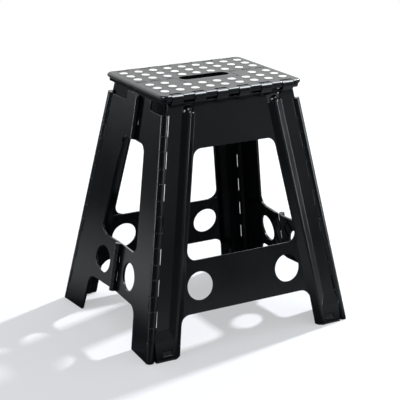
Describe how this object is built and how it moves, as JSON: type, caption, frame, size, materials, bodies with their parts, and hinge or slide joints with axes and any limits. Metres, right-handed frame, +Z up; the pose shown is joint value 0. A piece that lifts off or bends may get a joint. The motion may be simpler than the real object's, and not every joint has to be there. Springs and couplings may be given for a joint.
{
  "type": "folding step stool",
  "caption": "Folding step stool with a hinged rectangular top, carrying slot and white grip dots, two slanted panels and four side leaves that fold flat.",
  "frame": {"origin": "on the floor at the centre of the opened stool's footprint", "axes": "+Z up, X along the long side of the top, front panel towards -Y"},
  "size_m": [0.4158, 0.359, 0.45],
  "materials": {
    "black_plastic": "satin moulded",
    "hinge_rod": "brushed",
    "white_dot": "soft matte",
    "foot_rubber": "matte"
  },
  "bodies": {
    "front_panel": {"front_panel": "black_plastic", "corner_pin_front_left": "hinge_rod", "corner_pin_front_right": "hinge_rod", "front_top_pin": "hinge_rod", "foot_front_left": "foot_rubber", "foot_front_right": "foot_rubber"},
    "back_panel": {"back_panel": "black_plastic", "corner_pin_back_left": "hinge_rod", "corner_pin_back_right": "hinge_rod", "back_top_pin": "hinge_rod", "foot_back_left": "foot_rubber", "foot_back_right": "foot_rubber"},
    "left_front_leaf": {"left_front_leaf": "black_plastic", "mid_pin_left_lower": "hinge_rod", "mid_pin_left_upper": "hinge_rod"},
    "left_back_leaf": {"left_back_leaf": "black_plastic"},
    "right_front_leaf": {"right_front_leaf": "black_plastic", "mid_pin_right_lower": "hinge_rod", "mid_pin_right_upper": "hinge_rod"},
    "right_back_leaf": {"right_back_leaf": "black_plastic"},
    "top_front": {"top_front": "black_plastic", "top_front_dots": "white_dot"},
    "top_back": {"top_back": "black_plastic", "top_back_dots": "white_dot", "centre_pin_left": "hinge_rod", "centre_pin_right": "hinge_rod"}
  },
  "joints": [
    {"name": "fold_left_front", "type": "hinge", "parent": "front_panel", "child": "left_front_leaf", "pos_m": [-0.2005, -0.1714, 0], "axis": [0.1628, 0.1649, 0.9728], "range_deg": [-86, 0]},
    {"name": "fold_left_middle", "type": "hinge", "parent": "left_front_leaf", "child": "left_back_leaf", "pos_m": [-0.2005, 0, 0], "axis": [0.165, 0, 0.9863], "range_deg": [0, 169.04]},
    {"name": "fold_left_back", "type": "hinge", "parent": "left_back_leaf", "child": "back_panel", "pos_m": [-0.2005, 0.1714, 0], "axis": [0.1628, -0.1649, 0.9728], "range_deg": [-86, 0]},
    {"name": "fold_right_front", "type": "hinge", "parent": "front_panel", "child": "right_front_leaf", "pos_m": [0.2005, -0.1714, 0], "axis": [-0.1628, 0.1649, 0.9728], "range_deg": [0, 86]},
    {"name": "fold_right_back", "type": "hinge", "parent": "back_panel", "child": "right_back_leaf", "pos_m": [0.2005, 0.1714, 0], "axis": [-0.1628, -0.1649, 0.9728], "range_deg": [-86, 0]},
    {"name": "top_front_hinge", "type": "hinge", "parent": "front_panel", "child": "top_front", "pos_m": [0, -0.106, 0.4422], "axis": [1, 0, 0], "range_deg": [0, 75.68]},
    {"name": "top_back_hinge", "type": "hinge", "parent": "back_panel", "child": "top_back", "pos_m": [0, 0.106, 0.4422], "axis": [1, 0, 0], "range_deg": [-75.68, 0]}
  ],
  "couplings": [
    {"joint": "fold_left_middle", "follows": "fold_left_front", "ratio": -1.9656},
    {"joint": "fold_left_back", "follows": "fold_left_front", "ratio": 1},
    {"joint": "fold_right_front", "follows": "fold_left_front", "ratio": -1},
    {"joint": "fold_right_back", "follows": "fold_left_front", "ratio": 1},
    {"joint": "top_front_hinge", "follows": "fold_left_front", "ratio": -0.88},
    {"joint": "top_back_hinge", "follows": "fold_left_front", "ratio": 0.88}
  ]
}
